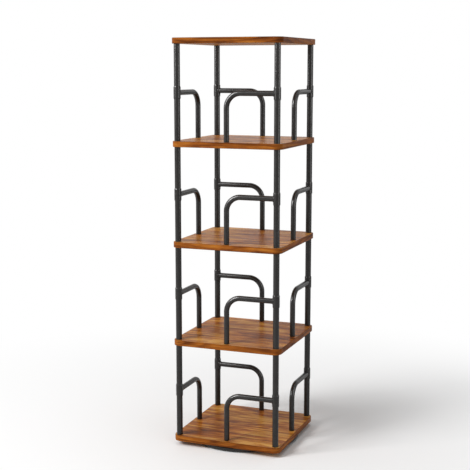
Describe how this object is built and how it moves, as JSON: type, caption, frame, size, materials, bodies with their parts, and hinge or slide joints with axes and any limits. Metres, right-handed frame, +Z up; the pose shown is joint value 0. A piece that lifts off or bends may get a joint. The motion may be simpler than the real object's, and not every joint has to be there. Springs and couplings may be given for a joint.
{
  "type": "revolving bookcase",
  "caption": "Tall square revolving bookcase: wood-grain boards on black steel corner posts with bent guard rails, turning on a flat ball bearing over a round base.",
  "frame": {"origin": "on the floor, at the centre of the footprint, on the turning axis", "axes": "+Z up along the turning axis; at rest -Y faces out of the front side and +X to its right"},
  "size_m": [0.3, 0.3, 1.08],
  "materials": {
    "brown_wood_laminate": "brown wood-grain laminate with dark streaks, satin",
    "black_powder_coat": "fine-textured black powder coat, satin",
    "black_oxide_steel": "black oxide, satin",
    "zinc_plated_steel": "bright zinc plate",
    "polished_ball_steel": "polished",
    "white_nylon": "moulded, matte",
    "black_rubber": "matte"
  },
  "bodies": {
    "base": {"rubber_feet": "black_rubber", "base_tray": "black_powder_coat", "bearing_lower_plate": "zinc_plated_steel", "bearing_rivets": "zinc_plated_steel"},
    "ball_race": {"ball_cage": "white_nylon", "bearing_balls": "polished_ball_steel"},
    "tower": {"bearing_upper_plate": "zinc_plated_steel", "bearing_screws": "zinc_plated_steel", "bottom_board": "brown_wood_laminate", "second_board": "brown_wood_laminate", "third_board": "brown_wood_laminate", "fourth_board": "brown_wood_laminate", "top_board": "brown_wood_laminate", "post_tier1_front_right": "black_powder_coat", "post_tier1_back_right": "black_powder_coat", "post_tier1_back_left": "black_powder_coat", "post_tier1_front_left": "black_powder_coat", "post_tier2_front_right": "black_powder_coat", "post_tier2_back_right": "black_powder_coat", "post_tier2_back_left": "black_powder_coat", "post_tier2_front_left": "black_powder_coat", "post_tier3_front_right": "black_powder_coat", "post_tier3_back_right": "black_powder_coat", "post_tier3_back_left": "black_powder_coat", "post_tier3_front_left": "black_powder_coat", "post_tier4_front_right": "black_powder_coat", "post_tier4_back_right": "black_powder_coat", "post_tier4_back_left": "black_powder_coat", "post_tier4_front_left": "black_powder_coat", "guard_rail_tier1_front": "black_powder_coat", "guard_rail_tier1_right": "black_powder_coat", "guard_rail_tier1_back": "black_powder_coat", "guard_rail_tier1_left": "black_powder_coat", "guard_rail_tier2_front": "black_powder_coat", "guard_rail_tier2_right": "black_powder_coat", "guard_rail_tier2_back": "black_powder_coat", "guard_rail_tier2_left": "black_powder_coat", "guard_rail_tier3_front": "black_powder_coat", "guard_rail_tier3_right": "black_powder_coat", "guard_rail_tier3_back": "black_powder_coat", "guard_rail_tier3_left": "black_powder_coat", "guard_rail_tier4_front": "black_powder_coat", "guard_rail_tier4_right": "black_powder_coat", "guard_rail_tier4_back": "black_powder_coat", "guard_rail_tier4_left": "black_powder_coat", "rail_sleeves_tier1": "black_powder_coat", "rail_sleeves_tier2": "black_powder_coat", "rail_sleeves_tier3": "black_powder_coat", "rail_sleeves_tier4": "black_powder_coat", "post_inserts": "zinc_plated_steel", "joining_studs": "zinc_plated_steel", "bottom_board_bolts": "black_oxide_steel", "top_board_bolts": "black_oxide_steel", "rail_foot_inserts": "zinc_plated_steel", "rail_foot_screws": "black_oxide_steel"}
  },
  "joints": [
    {"name": "tower_spin", "type": "hinge", "parent": "base", "child": "tower", "pos_m": [0, 0, 0.0085], "axis": [0, 0, 1], "continuous": true},
    {"name": "cage_roll", "type": "hinge", "parent": "base", "child": "ball_race", "pos_m": [0, 0, 0.0085], "axis": [0, 0, 1], "continuous": true}
  ],
  "couplings": [
    {"joint": "cage_roll", "follows": "tower_spin", "ratio": 0.5}
  ]
}
